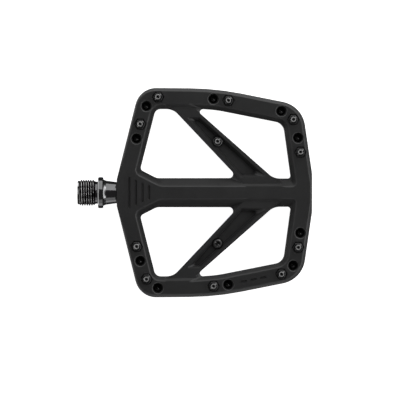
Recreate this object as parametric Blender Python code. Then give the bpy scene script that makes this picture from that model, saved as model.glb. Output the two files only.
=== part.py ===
"""Right-hand flat bicycle pedal, as an assembly of separate pieces.

The spindle lies along X, with its crank end at -X. The tread faces look along +Z and -Z, and Y runs
fore and aft. The origin is on the spindle's axis, at the middle of the pedal. Sizes are in metres:
the outlines are given in millimetres and scaled by MM.
"""
import math

import bmesh
import bpy
from mathutils import Vector

MM = 0.001
GAP = 0.3 * MM              # between pieces that touch

# Platform, overall
HALF_HEIGHT = 8.0 * MM      # from the spindle's axis to a tread face
HUB_X = -42.25 * MM         # inboard face of the barrel
BOSS_X = 63.7 * MM          # outboard face of the barrel
EDGE_BREAK = 0.8            # chamfer of the two barrel ends, in mm

# Outlines, in mm: x, y, corner radius, chamfer of the edge that leads to the next corner.
# They run anticlockwise seen from +Z, and show the half at +Y.
OUTER_HALF = [
    (63.7, 10.6, 10.0, 1.6),
    (58.36, 47.2, 15.0, 1.6),
    (11.75, 56.5, 150.0, 1.6),
    (-29.84, 56.9, 11.5, 0.8),
    (-42.25, 7.3, 3.0, EDGE_BREAK),
]
INBOARD_WINDOW = [
    (-20.6, 7.92, 6.0, 4.5),
    (23.8, 7.92, 2.2, 0.0),
    (-11.8, 45.6, 8.5, 2.2),
    (-21.3, 45.6, 3.6, 2.2),
    (-29.7, 12.57, 2.2, 3.2),
]
OUTBOARD_WINDOW = [
    (42.9, 7.7, 9.0, 4.5),
    (52.3, 7.7, 1.5, 2.5),
    (48.15, 37.84, 6.0, 2.2),
    (12.0, 45.0, 60.0, 2.2),
    (-0.35, 45.9, 1.7, 0.0),
]
BRACE_LEDGE = [
    (8.0, 4.8, 0.5, 1.4),
    (50.0, 4.8, 0.5, 0.0),
    (6.0, 46.1, 0.5, 1.4),
    (-16.0, 46.64, 0.5, 0.0),
]
BRACE_RECESS = [
    (-3.6, 41.4, 0.8, 0.0),
    (25.6, 8.7, 0.8, 0.0),
    (38.3, 9.2, 0.8, 0.0),
    (2.2, 41.5, 0.8, 0.0),
]
LEDGE_DEPTH = 1.4 * MM      # brace rims lie this far below the tread face
WEB_HALF = 2.8 * MM         # half thickness of the brace between its two recesses

# Traction pins with their tips on the +Z face, in mm. The -Z face has the same ones at -y.
PIN_PLACES = [
    (-19.9, 51.8),
    (18.25, 49.9),
    (53.45, 39.6),
    (57.3, 21.9),
    (56.1, -29.7),
    (47.0, -44.2),
    (10.2, -50.75),
    (-26.1, -46.9),
    (-31.5, -29.25),
    (-29.5, 37.05),
]
BRACE_PIN_PLACE = (12.45, 27.75)
BRACE_SCREW_R = 2.5 * MM
BRACE_TIP_R = 1.5 * MM
BRACE_SHOULDER_Z = 6.0 * MM
BRACE_TIP_Z = 9.9 * MM
BRACE_DRIVE_Z = -5.0 * MM
BRACE_RELIEF_R = 3.15 * MM  # round clearance that bites into the brace's rim
BRACE_RELIEF_DEPTH = 0.5 * MM
SHANK_R = 2.0 * MM
COLLAR_APOTHEM = 2.45 * MM
TIP_R = 1.45 * MM
TIP_RISE = 4.3 * MM         # tip above the tread face
COLLAR_HEIGHT = 2.2 * MM
SHANK_RECESS = 3.0 * MM     # shank end below the face that it points at
POCKET_DEPTH = 2.4 * MM
COUNTERBORE_R = 2.85 * MM
COUNTERBORE_DEPTH = 4.5 * MM

# Spindle
AXLE_START = -63.7 * MM
THREAD_R = 7.14 * MM        # 9/16 in thread, outside
FLANGE_X = -52.5 * MM       # face that the crank tightens against
FLANGE_R = 8.45 * MM
FLANGE_END_X = FLANGE_X + 2.75 * MM
THREAD_END_X = FLANGE_X - 2.7 * MM
RELIEF_R = 6.05 * MM        # between the thread and the flange
NECK_R = 7.0 * MM           # beside the flange
NECK_END_X = HUB_X + 0.1 * MM  # the neck reaches just into the barrel
NECK_END_R = 5.72 * MM
JOURNAL_R = 4.8 * MM
SHAFT_R = 4.0 * MM
SEAT_R = 3.0 * MM
END_THREAD_R = 2.85 * MM
KEY_APOTHEM = 4.0 * MM      # 8 mm hex-key socket
KEY_DEPTH = 8.0 * MM
KEY_TIP_R = 1.2 * MM        # of the cone at the bottom of the socket

# Bearing, 6 x 13 x 5 mm
BEARING_X = 52.3 * MM
BEARING_WIDTH = 5.0 * MM
BEARING_R = 6.5 * MM
BEARING_BORE_R = 3.3 * MM
OUTER_LAND_R = 5.6 * MM
INNER_LAND_R = 4.2 * MM
GROOVE = 0.4 * MM
BALL_R = 0.85 * MM
BALL_COUNT = 7
PITCH_R = 4.9 * MM
CAP_KEY_APOTHEM = 2.0 * MM  # 4 mm key recess in the end cap

BORE_R = 5.5 * MM           # barrel's bore between the bushing and the bearing
BUSHING_END_X = -25.4 * MM
SLEEVE_R = 6.1 * MM         # outside of the seal and the bushing
SLEEVE_BORE_R = JOURNAL_R + GAP

TIGHTENING = 0.8            # of a corner's radius, for each mm between its two chamfers
SMALLEST_RADIUS = 0.5       # of a corner, in mm
ROUND_STEPS = 24            # sides of the turned pieces
SMALL_STEPS = 12            # sides of pins and of their holes


def clear_scene():
    for item in list(bpy.data.objects):
        bpy.data.objects.remove(item, do_unlink=True)


def material(name, color, roughness, metallic):
    made = bpy.data.materials.new(name)
    made.use_nodes = True
    shader = made.node_tree.nodes["Principled BSDF"]
    shader.inputs["Base Color"].default_value = (*color, 1.0)
    shader.inputs["Roughness"].default_value = roughness
    shader.inputs["Metallic"].default_value = metallic
    return made


def add_object(name, mesh, look=None, parent=None):
    made = bpy.data.objects.new(name, mesh)
    bpy.context.scene.collection.objects.link(made)
    if look and not mesh.materials:
        mesh.materials.append(look)
    if parent:
        made.parent = parent
    return made


def add_empty(name):
    made = bpy.data.objects.new(name, None)
    bpy.context.scene.collection.objects.link(made)
    return made


def finish_mesh(name, form):
    """Turn a bmesh into a mesh whose faces point out and whose round sides are smooth."""
    bmesh.ops.recalc_face_normals(form, faces=form.faces)
    mesh = bpy.data.meshes.new(name)
    form.to_mesh(mesh)
    form.free()
    mesh.shade_smooth()
    mesh.set_sharp_from_angle(angle=math.radians(35))
    return mesh


def mirror_corners(corners):
    """The same closed outline at -Y, still anticlockwise."""
    mirrored = [(x, -y, radius, corners[i - 1][3]) for i, (x, y, radius, _) in enumerate(corners)]
    return mirrored[::-1]


def corner_points(before, after, radius, steps):
    """Points of the arc that rounds the corner between two directed lines."""
    turn = before["run"].cross(after["run"])
    angle = math.asin(turn)
    if before["run"].dot(after["run"]) < 0:
        angle = math.pi - angle
    offset = after["start"] - before["start"]
    corner = before["start"] + before["run"] * (offset.cross(after["run"]) / turn)
    first = corner - before["run"] * radius * math.tan(angle / 2)
    center = first + Vector((-before["run"].y, before["run"].x)) * radius
    heading = math.atan2(before["run"].y, before["run"].x) - math.pi / 2
    angles = [heading + angle * i / steps for i in range(steps + 1)]
    return [center + Vector((math.cos(a), math.sin(a))) * radius for a in angles]


def outline(corners, depth, side):
    """Rounded outline at a depth (mm) under the tread face, each edge moved by the chamfer left there.

    side is 1 for a window, which widens towards the face, and -1 for a solid, which narrows.
    A corner between unlike chamfers tightens towards the face.
    """
    lines = []
    for i, (x, y, _, chamfer) in enumerate(corners):
        end = corners[(i + 1) % len(corners)]
        run = Vector((end[0] - x, end[1] - y)).normalized()
        shift = side * max(chamfer - depth, 0.0)
        lines.append({"run": run, "start": Vector((x, y)) + Vector((run.y, -run.x)) * shift, "shift": shift})
    points = []
    for i, (_, _, radius, _) in enumerate(corners):
        before = lines[i - 1]
        after = lines[i]
        shifts = sorted((abs(before["shift"]), abs(after["shift"])))
        grown = max(radius + side * shifts[0] - TIGHTENING * (shifts[1] - shifts[0]), SMALLEST_RADIUS)
        turn = math.acos(max(-1.0, min(1.0, before["run"].dot(after["run"]))))
        steps = max(2, round(turn / math.radians(20)))
        points += corner_points(before, after, grown, steps)
    return [point * MM for point in points]


def lofted(form, rings):
    """Closed body through rings of points that have the same count, capped at both ends."""
    rows = [[form.verts.new(point) for point in ring] for ring in rings]
    for low, high in zip(rows, rows[1:]):
        for i in range(len(low)):
            j = (i + 1) % len(low)
            form.faces.new((low[i], low[j], high[j], high[i]))
    form.faces.new(reversed(rows[0]))
    form.faces.new(rows[-1])


def ring_at(points, z):
    return [Vector((point.x, point.y, z)) for point in points]


def slab(form, corners, depths):
    """Solid plate with chamfered edges, symmetrical about Z = 0."""
    below = [ring_at(outline(corners, depth, -1), -HALF_HEIGHT + depth * MM) for depth in depths]
    above = [ring_at(outline(corners, depth, -1), HALF_HEIGHT - depth * MM) for depth in reversed(depths)]
    lofted(form, below + above)


def window(form, corners, depths):
    """Cutter of an opening that goes through the plate, with chamfers towards both faces."""
    past = 1.0
    below = [ring_at(outline(corners, depth, 1), -HALF_HEIGHT + depth * MM) for depth in depths]
    above = [ring_at(outline(corners, depth, 1), HALF_HEIGHT - depth * MM) for depth in reversed(depths)]
    outside = outline(corners, -past, 1)
    first = ring_at(outside, -HALF_HEIGHT - past * MM)
    last = ring_at(outside, HALF_HEIGHT + past * MM)
    lofted(form, [first] + below + above + [last])


def pocket(form, corners, floor, face, chamfer=0.0):
    """Cutter of a pocket from its floor to past the tread face that it opens on (face is 1 or -1)."""
    past = 1.0
    levels = [(floor, chamfer), (HALF_HEIGHT, 0.0), (HALF_HEIGHT + past * MM, -past)]
    rings = [ring_at(outline(corners, depth, 1), face * z) for z, depth in levels]
    lofted(form, rings)


def turned(form, profile, steps, axis="X", closed=False):
    """Turn a profile of (distance, radius, kind) points about an axis through the origin.

    kind "hex" makes the radius a hexagon's half width across flats, with a corner at angle zero.
    A closed profile makes a ring; an open one is capped at both ends.
    """
    rows = []
    for distance, radius, kind in profile:
        row = []
        for i in range(steps):
            angle = math.tau * i / steps
            reach = radius
            if kind == "hex":
                reach = radius / math.cos(math.radians(math.degrees(angle) % 60 - 30))
            across = (reach * math.cos(angle), reach * math.sin(angle))
            place = (distance, *across) if axis == "X" else (*across, distance)
            row.append(form.verts.new(place))
        rows.append(row)
    pairs = list(zip(rows, rows[1:]))
    if closed:
        pairs.append((rows[-1], rows[0]))
    for low, high in pairs:
        for i in range(steps):
            j = (i + 1) % steps
            form.faces.new((low[i], low[j], high[j], high[i]))
    if not closed:
        form.faces.new(rows[0])
        form.faces.new(rows[-1])


def turned_mesh(name, profile, steps, axis="X", closed=False):
    form = bmesh.new()
    turned(form, profile, steps, axis, closed)
    return finish_mesh(name, form)


def ring_profile(start, end, bore, outside):
    return [
        (start, outside, "round"),
        (end, outside, "round"),
        (end, bore, "round"),
        (start, bore, "round"),
    ]


def cut(target, cutter):
    """Subtract a hidden cutter object from a target."""
    cutter.hide_render = True
    cutter.display_type = "WIRE"
    step = target.modifiers.new(cutter.name, "BOOLEAN")
    step.operation = "DIFFERENCE"
    step.solver = "EXACT"
    step.object = cutter


def cutter_object(name, form):
    return add_object(name, finish_mesh(name, form))


def make_windows():
    form = bmesh.new()
    depths = [0.0, 2.3, 4.5]
    for corners in (INBOARD_WINDOW, OUTBOARD_WINDOW):
        window(form, corners, depths)
        window(form, mirror_corners(corners), depths)
    return cutter_object("window_cutter", form)


def make_brace_pockets(name, corners, floor, chamfer=0.0):
    form = bmesh.new()
    for face in (1, -1):
        pocket(form, corners, floor, face, chamfer)
        pocket(form, mirror_corners(corners), floor, face, chamfer)
    return cutter_object(name, form)


def pin_hole_profile():
    """Stepped hole of a pin whose tip is up: counterbore, shank hole and hex pocket."""
    past = 1.0 * MM
    return [
        (-HALF_HEIGHT - past, COUNTERBORE_R, "round"),
        (-HALF_HEIGHT + COUNTERBORE_DEPTH, COUNTERBORE_R, "round"),
        (-HALF_HEIGHT + COUNTERBORE_DEPTH, SHANK_R + GAP, "round"),
        (HALF_HEIGHT - POCKET_DEPTH, SHANK_R + GAP, "round"),
        (HALF_HEIGHT - POCKET_DEPTH, COLLAR_APOTHEM + GAP, "hex"),
        (HALF_HEIGHT + past, COLLAR_APOTHEM + GAP, "hex"),
    ]


def brace_hole_profile():
    """Through hole of a brace screw, with a round relief on both sides of the web."""
    past = 1.0 * MM
    step = WEB_HALF - BRACE_RELIEF_DEPTH
    return [
        (-HALF_HEIGHT - past, BRACE_RELIEF_R, "round"),
        (-step, BRACE_RELIEF_R, "round"),
        (-step, BRACE_SCREW_R + GAP, "round"),
        (step, BRACE_SCREW_R + GAP, "round"),
        (step, BRACE_RELIEF_R, "round"),
        (HALF_HEIGHT + past, BRACE_RELIEF_R, "round"),
    ]


def make_pin_holes():
    form = bmesh.new()
    holes = [(x, y, 1, pin_hole_profile()) for x, y in PIN_PLACES]
    holes += [(x, -y, -1, pin_hole_profile()) for x, y in PIN_PLACES]
    x, y = BRACE_PIN_PLACE
    holes += [(x, y, 1, brace_hole_profile()), (x, -y, -1, brace_hole_profile())]
    for x, y, face, profile in holes:
        one = bmesh.new()
        turned(one, profile, SMALL_STEPS, "Z")
        for vert in one.verts:
            vert.co = Vector((vert.co.x + x * MM, vert.co.y * face + y * MM, vert.co.z * face))
        mesh = bpy.data.meshes.new("hole")
        one.to_mesh(mesh)
        one.free()
        form.from_mesh(mesh)
        bpy.data.meshes.remove(mesh)
    return cutter_object("pin_hole_cutter", form)


def make_barrel_bore():
    past = 1.0 * MM
    shoulder_x = BUSHING_END_X + GAP
    seat_x = BEARING_X - GAP
    profile = [
        (HUB_X - past, SLEEVE_R + GAP, "round"),
        (shoulder_x, SLEEVE_R + GAP, "round"),
        (shoulder_x, BORE_R, "round"),
        (seat_x, BORE_R, "round"),
        (seat_x, BEARING_R + GAP, "round"),
        (BOSS_X + past, BEARING_R + GAP, "round"),
    ]
    form = bmesh.new()
    turned(form, profile, ROUND_STEPS)
    return cutter_object("barrel_bore_cutter", form)


def make_platform(parent):
    form = bmesh.new()
    slab(form, OUTER_HALF + mirror_corners(OUTER_HALF), [0.0, 0.8, 1.6])
    nylon = material("black_nylon", (0.022, 0.022, 0.023), 0.55, 0.0)
    body = add_object("platform_body", finish_mesh("platform_body", form), nylon, parent)
    ledge_floor = HALF_HEIGHT - LEDGE_DEPTH
    cut(body, make_windows())
    cut(body, make_brace_pockets("ledge_cutter", BRACE_LEDGE, ledge_floor, LEDGE_DEPTH / MM))
    cut(body, make_brace_pockets("recess_cutter", BRACE_RECESS, WEB_HALF))
    cut(body, make_pin_holes())
    cut(body, make_barrel_bore())


def traction_pin_mesh():
    """Pin with its tip up: shank, hex collar and tip, all one piece."""
    seat = HALF_HEIGHT - POCKET_DEPTH + GAP
    collar_top = seat + COLLAR_HEIGHT
    profile = [
        (-HALF_HEIGHT + SHANK_RECESS, SHANK_R, "round"),
        (seat, SHANK_R, "round"),
        (seat, COLLAR_APOTHEM, "hex"),
        (collar_top, COLLAR_APOTHEM, "hex"),
        (collar_top, TIP_R, "round"),
        (HALF_HEIGHT + TIP_RISE, TIP_R, "round"),
    ]
    return turned_mesh("traction_pin", profile, SMALL_STEPS, "Z")


def brace_screw_mesh():
    """Set screw with its point up, drive end down."""
    profile = [
        (BRACE_DRIVE_Z, BRACE_SCREW_R, "round"),
        (BRACE_SHOULDER_Z, BRACE_SCREW_R, "round"),
        (BRACE_SHOULDER_Z, BRACE_TIP_R, "round"),
        (BRACE_TIP_Z, BRACE_TIP_R, "round"),
    ]
    return turned_mesh("brace_screw", profile, SMALL_STEPS, "Z")


def place_pin(name, mesh, look, parent, x, y, face):
    pin = add_object(name, mesh, look, parent)
    pin.location = (x * MM, y * MM, 0.0)
    if face < 0:
        pin.rotation_euler = (math.pi, 0.0, 0.0)


def make_pins(parent):
    steel = material("pin_steel", (0.19, 0.19, 0.2), 0.32, 1.0)
    mesh = traction_pin_mesh()
    for number, (x, y) in enumerate(PIN_PLACES, start=1):
        place_pin(f"pin_top_{number:02d}", mesh, steel, parent, x, y, 1)
        place_pin(f"pin_under_{number:02d}", mesh, steel, parent, x, -y, -1)
    screw = brace_screw_mesh()
    x, y = BRACE_PIN_PLACE
    place_pin("brace_screw_fore", screw, steel, parent, x, y, 1)
    place_pin("brace_screw_aft", screw, steel, parent, x, -y, -1)


def make_axle():
    """Spindle, from its crank end to the locknut's thread."""
    groove_r = 7.25 * MM        # groove that keeps the flange's face clear of the thread
    groove_x = FLANGE_X + 0.2 * MM
    profile = [
        (AXLE_START, THREAD_R - 0.95 * MM),
        (AXLE_START + 1.2 * MM, THREAD_R),
        (THREAD_END_X, THREAD_R),
        (THREAD_END_X + 0.6 * MM, RELIEF_R),
        (groove_x, RELIEF_R),
        (groove_x, groove_r),
        (FLANGE_X, groove_r),
        (FLANGE_X, FLANGE_R),
        (FLANGE_END_X, FLANGE_R),
        (FLANGE_END_X, NECK_R + 0.35 * MM),
        (FLANGE_END_X + 0.4 * MM, NECK_R),
        (FLANGE_END_X + 1.6 * MM, NECK_R - 0.42 * MM),
        (NECK_END_X, NECK_END_R),
        (NECK_END_X, JOURNAL_R),
        (-25.0 * MM, JOURNAL_R),
        (-15.0 * MM, SHAFT_R),
        (BEARING_X - GAP, SHAFT_R),
        (BEARING_X - GAP, SEAT_R),
        (57.8 * MM, SEAT_R),
        (58.0 * MM, END_THREAD_R),
        (61.0 * MM, END_THREAD_R),
        (61.3 * MM, END_THREAD_R - 0.25 * MM),
    ]
    rows = [(x, radius, "round") for x, radius in profile]
    steel = material("polished_steel", (0.12, 0.12, 0.125), 0.16, 1.0)
    axle = add_object("axle", turned_mesh("axle", rows, ROUND_STEPS), steel)
    floor = AXLE_START + KEY_DEPTH
    socket = [
        (AXLE_START - MM, KEY_APOTHEM, "hex"),
        (floor, KEY_APOTHEM, "hex"),
        (floor + MM, KEY_TIP_R, "round"),
    ]
    form = bmesh.new()
    turned(form, socket, SMALL_STEPS)
    cut(axle, cutter_object("key_socket_cutter", form))


def make_inboard_bearing(parent):
    rubber = material("seal_rubber", (0.015, 0.015, 0.016), 0.7, 0.0)
    start = NECK_END_X + GAP
    end = -39.7 * MM
    wall = 0.5 * MM
    profile = [
        (start, SLEEVE_R, "round"),
        (end, SLEEVE_R, "round"),
        (end, SLEEVE_R - wall, "round"),
        (start + 1.0 * MM, SLEEVE_R - wall, "round"),
        (start + wall, SLEEVE_BORE_R, "round"),
        (start, SLEEVE_BORE_R, "round"),
    ]
    seal = turned_mesh("inboard_seal", profile, ROUND_STEPS, closed=True)
    add_object("inboard_seal", seal, rubber, parent)
    bronze = material("bushing_polymer", (0.30, 0.22, 0.08), 0.5, 0.0)
    sleeve = ring_profile(end + GAP, BUSHING_END_X, SLEEVE_BORE_R, SLEEVE_R)
    add_object("axle_bushing", turned_mesh("axle_bushing", sleeve, ROUND_STEPS, closed=True), bronze, parent)


def race_profile(wall, land, groove):
    """Bearing ring with a ball groove: wall is its plain side's radius, groove the radius at its bottom."""
    middle = BEARING_X + BEARING_WIDTH / 2
    flank = 1.4 * MM
    bottom = 0.5 * MM
    return [
        (BEARING_X, wall, "round"),
        (BEARING_X + BEARING_WIDTH, wall, "round"),
        (BEARING_X + BEARING_WIDTH, land, "round"),
        (middle + flank, land, "round"),
        (middle + bottom, groove, "round"),
        (middle - bottom, groove, "round"),
        (middle - flank, land, "round"),
        (BEARING_X, land, "round"),
    ]


def make_cage(look, parent):
    """Crown cage: a ring with an open pocket for each ball."""
    middle = BEARING_X + BEARING_WIDTH / 2
    ring = ring_profile(middle - 0.6 * MM, middle + 1.7 * MM, INNER_LAND_R + GAP, OUTER_LAND_R - GAP)
    steps = BALL_COUNT * 4
    cage = add_object("bearing_cage", turned_mesh("bearing_cage", ring, steps, closed=True), look, parent)
    form = bmesh.new()
    for i in range(BALL_COUNT):
        angle = math.tau * i / BALL_COUNT
        outward = Vector((0.0, math.cos(angle), math.sin(angle)))
        across = Vector((0.0, -math.sin(angle), math.cos(angle)))
        along = Vector((1.0, 0.0, 0.0))
        radius = BALL_R + GAP
        rings = []
        for reach in (PITCH_R - 1.5 * MM, PITCH_R + 1.5 * MM):
            center = outward * reach + along * middle
            turns = [math.tau * (k + 0.5) / SMALL_STEPS for k in range(SMALL_STEPS)]
            rings.append([center + (along * math.cos(t) + across * math.sin(t)) * radius for t in turns])
        lofted(form, rings)
    cut(cage, cutter_object("ball_pocket_cutter", form))


def make_balls(look, parent):
    form = bmesh.new()
    bmesh.ops.create_icosphere(form, subdivisions=2, radius=BALL_R)
    mesh = finish_mesh("bearing_ball", form)
    for i in range(BALL_COUNT):
        angle = math.tau * i / BALL_COUNT
        ball = add_object(f"bearing_ball_{i + 1}", mesh, look, parent)
        middle = BEARING_X + BEARING_WIDTH / 2
        ball.location = (middle, PITCH_R * math.cos(angle), PITCH_R * math.sin(angle))


def make_outboard_bearing(platform, cage_axis):
    steel = material("bearing_steel", (0.45, 0.45, 0.46), 0.2, 1.0)
    outer = race_profile(BEARING_R, OUTER_LAND_R, OUTER_LAND_R + GROOVE)
    inner = race_profile(BEARING_BORE_R, INNER_LAND_R, INNER_LAND_R - GROOVE)
    for name, profile, parent in (("bearing_outer_race", outer, platform), ("bearing_inner_race", inner, None)):
        add_object(name, turned_mesh(name, profile, ROUND_STEPS, closed=True), steel, parent)
    nylon = material("cage_nylon", (0.35, 0.29, 0.2), 0.5, 0.0)
    make_cage(nylon, cage_axis)
    make_balls(steel, cage_axis)
    rubber = material("shield_rubber", (0.02, 0.02, 0.02), 0.6, 0.0)
    inset = 0.15 * MM
    thickness = 0.4 * MM
    starts = {"inboard": BEARING_X + inset, "outboard": BEARING_X + BEARING_WIDTH - inset - thickness}
    for side, start in starts.items():
        name = f"bearing_shield_{side}"
        profile = ring_profile(start, start + thickness, INNER_LAND_R + GAP, OUTER_LAND_R - GAP)
        add_object(name, turned_mesh(name, profile, ROUND_STEPS, closed=True), rubber, platform)


def make_end_hardware(platform):
    """Washer and locknut on the axle, and the plug that closes the barrel."""
    zinc = material("zinc_steel", (0.4, 0.4, 0.4), 0.35, 1.0)
    washer_x = BEARING_X + BEARING_WIDTH + GAP
    washer = ring_profile(washer_x, washer_x + 0.7 * MM, SEAT_R + GAP, 5.2 * MM)
    add_object("thrust_washer", turned_mesh("thrust_washer", washer, ROUND_STEPS, closed=True), zinc)
    nut_x = 58.6 * MM
    nut_end_x = 61.3 * MM
    nut = [
        (nut_x, 4.5 * MM, "hex"),
        (nut_end_x - 0.3 * MM, 4.5 * MM, "hex"),
        (nut_end_x, 4.4 * MM, "round"),
        (nut_end_x, END_THREAD_R + GAP, "round"),
        (nut_x, END_THREAD_R + GAP, "round"),
    ]
    add_object("axle_locknut", turned_mesh("axle_locknut", nut, ROUND_STEPS, closed=True), zinc)
    cap_face = BOSS_X - GAP
    skirt_end = cap_face - 3.6 * MM
    skirt_bore = 5.8 * MM
    cap = [
        (cap_face - 1.3 * MM, skirt_bore, "round"),
        (skirt_end, skirt_bore, "round"),
        (skirt_end, BEARING_R - 0.1 * MM, "round"),
        (cap_face - GAP, BEARING_R - 0.1 * MM, "round"),
        (cap_face, BEARING_R - 0.4 * MM, "round"),
        (cap_face, CAP_KEY_APOTHEM, "hex"),
        (cap_face - 0.7 * MM, CAP_KEY_APOTHEM, "hex"),
    ]
    form = bmesh.new()
    turned(form, cap, ROUND_STEPS)
    plug = material("cap_plastic", (0.02, 0.02, 0.021), 0.5, 0.0)
    add_object("end_cap", finish_mesh("end_cap", form), plug, platform)


def main():
    clear_scene()
    platform_axis = add_empty("platform_axis")
    cage_axis = add_empty("cage_axis")
    make_platform(platform_axis)
    make_pins(platform_axis)
    make_axle()
    make_inboard_bearing(platform_axis)
    make_outboard_bearing(platform_axis, cage_axis)
    make_end_hardware(platform_axis)


main()
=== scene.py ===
"""Looks of the flat pedal: detailed meshes, procedural materials, floor, lights and camera.

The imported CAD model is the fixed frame. Lengths are in metres; outlines are in millimetres and scaled by MM.
The spindle lies along X with its crank end at -X, and the tread faces look along +Z and -Z.
"""
import math

import bmesh
import bpy
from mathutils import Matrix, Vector


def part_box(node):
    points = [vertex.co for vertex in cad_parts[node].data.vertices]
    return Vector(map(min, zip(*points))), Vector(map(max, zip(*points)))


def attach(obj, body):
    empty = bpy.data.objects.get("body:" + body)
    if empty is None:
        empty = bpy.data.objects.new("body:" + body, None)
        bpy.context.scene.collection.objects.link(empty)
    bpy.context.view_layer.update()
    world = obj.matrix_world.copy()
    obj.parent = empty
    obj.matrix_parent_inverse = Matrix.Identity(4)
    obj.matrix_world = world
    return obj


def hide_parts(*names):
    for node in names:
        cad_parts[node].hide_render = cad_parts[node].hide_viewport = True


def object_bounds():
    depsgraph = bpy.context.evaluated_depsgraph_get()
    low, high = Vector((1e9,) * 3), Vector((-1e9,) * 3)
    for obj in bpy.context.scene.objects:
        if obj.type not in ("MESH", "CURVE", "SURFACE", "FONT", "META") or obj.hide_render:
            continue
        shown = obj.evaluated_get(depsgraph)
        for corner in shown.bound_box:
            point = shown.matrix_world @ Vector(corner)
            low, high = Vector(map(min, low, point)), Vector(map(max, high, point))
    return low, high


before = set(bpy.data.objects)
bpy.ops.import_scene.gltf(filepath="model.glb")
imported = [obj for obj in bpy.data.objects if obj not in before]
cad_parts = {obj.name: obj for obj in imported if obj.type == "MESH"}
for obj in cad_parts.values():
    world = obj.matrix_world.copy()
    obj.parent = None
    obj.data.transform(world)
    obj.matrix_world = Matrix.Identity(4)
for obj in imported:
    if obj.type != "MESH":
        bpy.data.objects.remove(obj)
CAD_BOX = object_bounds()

MM = 0.001
GAP = 0.3 * MM

# ---------------------------------------------------------------- sizes

PLATFORM_LOW, PLATFORM_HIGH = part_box("platform_body")
HALF_HEIGHT = PLATFORM_HIGH[2]
HUB_X = PLATFORM_LOW[0]
BOSS_X = PLATFORM_HIGH[0]
WEB_HALF = 2.8 * MM
EDGE_BREAK = 0.8
WINDOW_ROUND = 1.2          # between a tread face and a window's chamfers, in mm
OUTER_CHAMFER = 1.6         # the largest chamfer of the platform's outer edge, in mm
SOFTENING = 0.22 * MM       # width of the small round on every moulded edge

# Painted highlight on the platform's edges: how much lighter a face is painted, from 0 to FULL_MARK, kept in a
# face attribute
EDGE_MARK = "moulded_round"
FULL_MARK = 2.0
SMALL_ROUND_INDEX = 1       # material indices tell faces apart while the platform is cut
OUTER_CHAMFER_INDEX = 2
MARKS = (0.0, 0.2, 0.7)     # painted highlight by material index: plain faces, small rounds, the outer chamfer
WINDOW_MARK = 0.35          # painted highlight on the rounds beside a window
RIM_MARK = 1.4              # painted highlight on the rims of the pins' counterbores
GROOVE_MARK = 1.0           # painted highlight on the rounds of the hub's grooves that face outboard, the side the light comes from
RIM_FACE_AREA = 1.0 * MM * MM
ROUND_FACE_AREA = 40.0 * MM * MM
GRIP_LEFT = -37.0 * MM      # area of the hub's grooves
GRIP_RIGHT = -22.0 * MM
GRIP_REACH = 9.5 * MM

# Outlines in mm: x, y, corner radius, chamfer of the edge that leads to the next corner
OUTER_HALF = [
    (63.7, 10.6, 10.0, OUTER_CHAMFER),
    (58.36, 47.2, 15.0, OUTER_CHAMFER),
    (11.75, 56.5, 150.0, OUTER_CHAMFER),
    (-29.84, 56.9, 11.5, EDGE_BREAK),
    (-42.25, 7.3, 3.0, EDGE_BREAK),
]
INBOARD_WINDOW = [
    (-20.6, 7.92, 6.0, 4.5),
    (23.8, 7.92, 2.2, 0.0),
    (-11.8, 45.6, 8.5, 2.2),
    (-21.3, 45.6, 3.6, 2.2),
    (-29.7, 12.57, 2.2, 3.2),
]
OUTBOARD_WINDOW = [
    (42.9, 7.7, 9.0, 4.5),
    (52.3, 7.7, 1.5, 2.5),
    (48.15, 37.84, 6.0, 2.2),
    (12.0, 45.0, 60.0, 2.2),
    (-0.35, 45.9, 1.7, 0.0),
]
BRACE_LEDGE = [
    (8.0, 4.8, 0.5, 1.4),
    (50.0, 4.8, 0.5, 0.0),
    (6.0, 46.1, 0.5, 1.4),
    (-16.0, 46.64, 0.5, 0.0),
]
# The recess has no chamfers, so its last values only move an edge outwards
BRACE_RECESS = [
    (-3.24, 41.0, 0.9, 0.9),
    (25.6, 8.7, 0.9, 0.5),
    (38.3, 9.2, 0.9, 0.0),
    (2.76, 41.0, 0.9, 0.0),
]
LEDGE_DEPTH = 1.4
TIGHTENING = 0.8            # of a corner's radius, for each mm between its two chamfers
SMALLEST_RADIUS = 0.5       # of a corner, in mm

# Pins
THREAD_DEPTH = 0.6134       # of the pitch, for a 60 degree thread
SHANK_R = 2.0 * MM
SHANK_PITCH = 0.7 * MM
COLLAR_APOTHEM = 2.45 * MM
COLLAR_HEIGHT = 2.2 * MM
TIP_R = 1.45 * MM
POCKET_DEPTH = 2.4 * MM
COUNTERBORE_R = 2.85 * MM
COUNTERBORE_DEPTH = 4.5 * MM
BRACE_SCREW_R = 2.5 * MM
BRACE_RELIEF_R = 3.15 * MM
BRACE_SCREWS = (("brace_screw_fore", 1), ("brace_screw_aft", -1))   # node, and 1 where its point is up

# Spindle; its thread stands slightly proud of the standard one and is deeper, so that it shows
AXLE_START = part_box("axle")[0][0]
THREAD_R = 7.2 * MM
SPINDLE_THREAD_DEPTH = 0.72  # of the pitch
THREAD_PITCH = 25.4 / 20 * MM
THREAD_END = -54.1 * MM
KEY_APOTHEM = 4.0 * MM
KEY_DEPTH = 8.0 * MM

FLOOR_REACH = 12.0
CAMERA_DISTANCE = 2.0
VIEW_WIDTH = 0.2168         # seen across the picture at the tread face
VIEW_CENTER = (2.9 * MM, -4.0 * MM)


# ---------------------------------------------------------------- mesh tools

def mesh_from(name, form):
    bmesh.ops.recalc_face_normals(form, faces=form.faces)
    mesh = bpy.data.meshes.new(name)
    form.to_mesh(mesh)
    form.free()
    mesh.shade_smooth()
    mesh.set_sharp_from_angle(angle=math.radians(32))
    return mesh


def add_object(name, mesh):
    made = bpy.data.objects.new(name, mesh)
    bpy.context.scene.collection.objects.link(made)
    return made


def applied(obj):
    """Bake an object's modifiers into its mesh."""
    bpy.context.view_layer.update()
    graph = bpy.context.evaluated_depsgraph_get()
    mesh = bpy.data.meshes.new_from_object(obj.evaluated_get(graph))
    obj.modifiers.clear()
    obj.data = mesh


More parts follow.
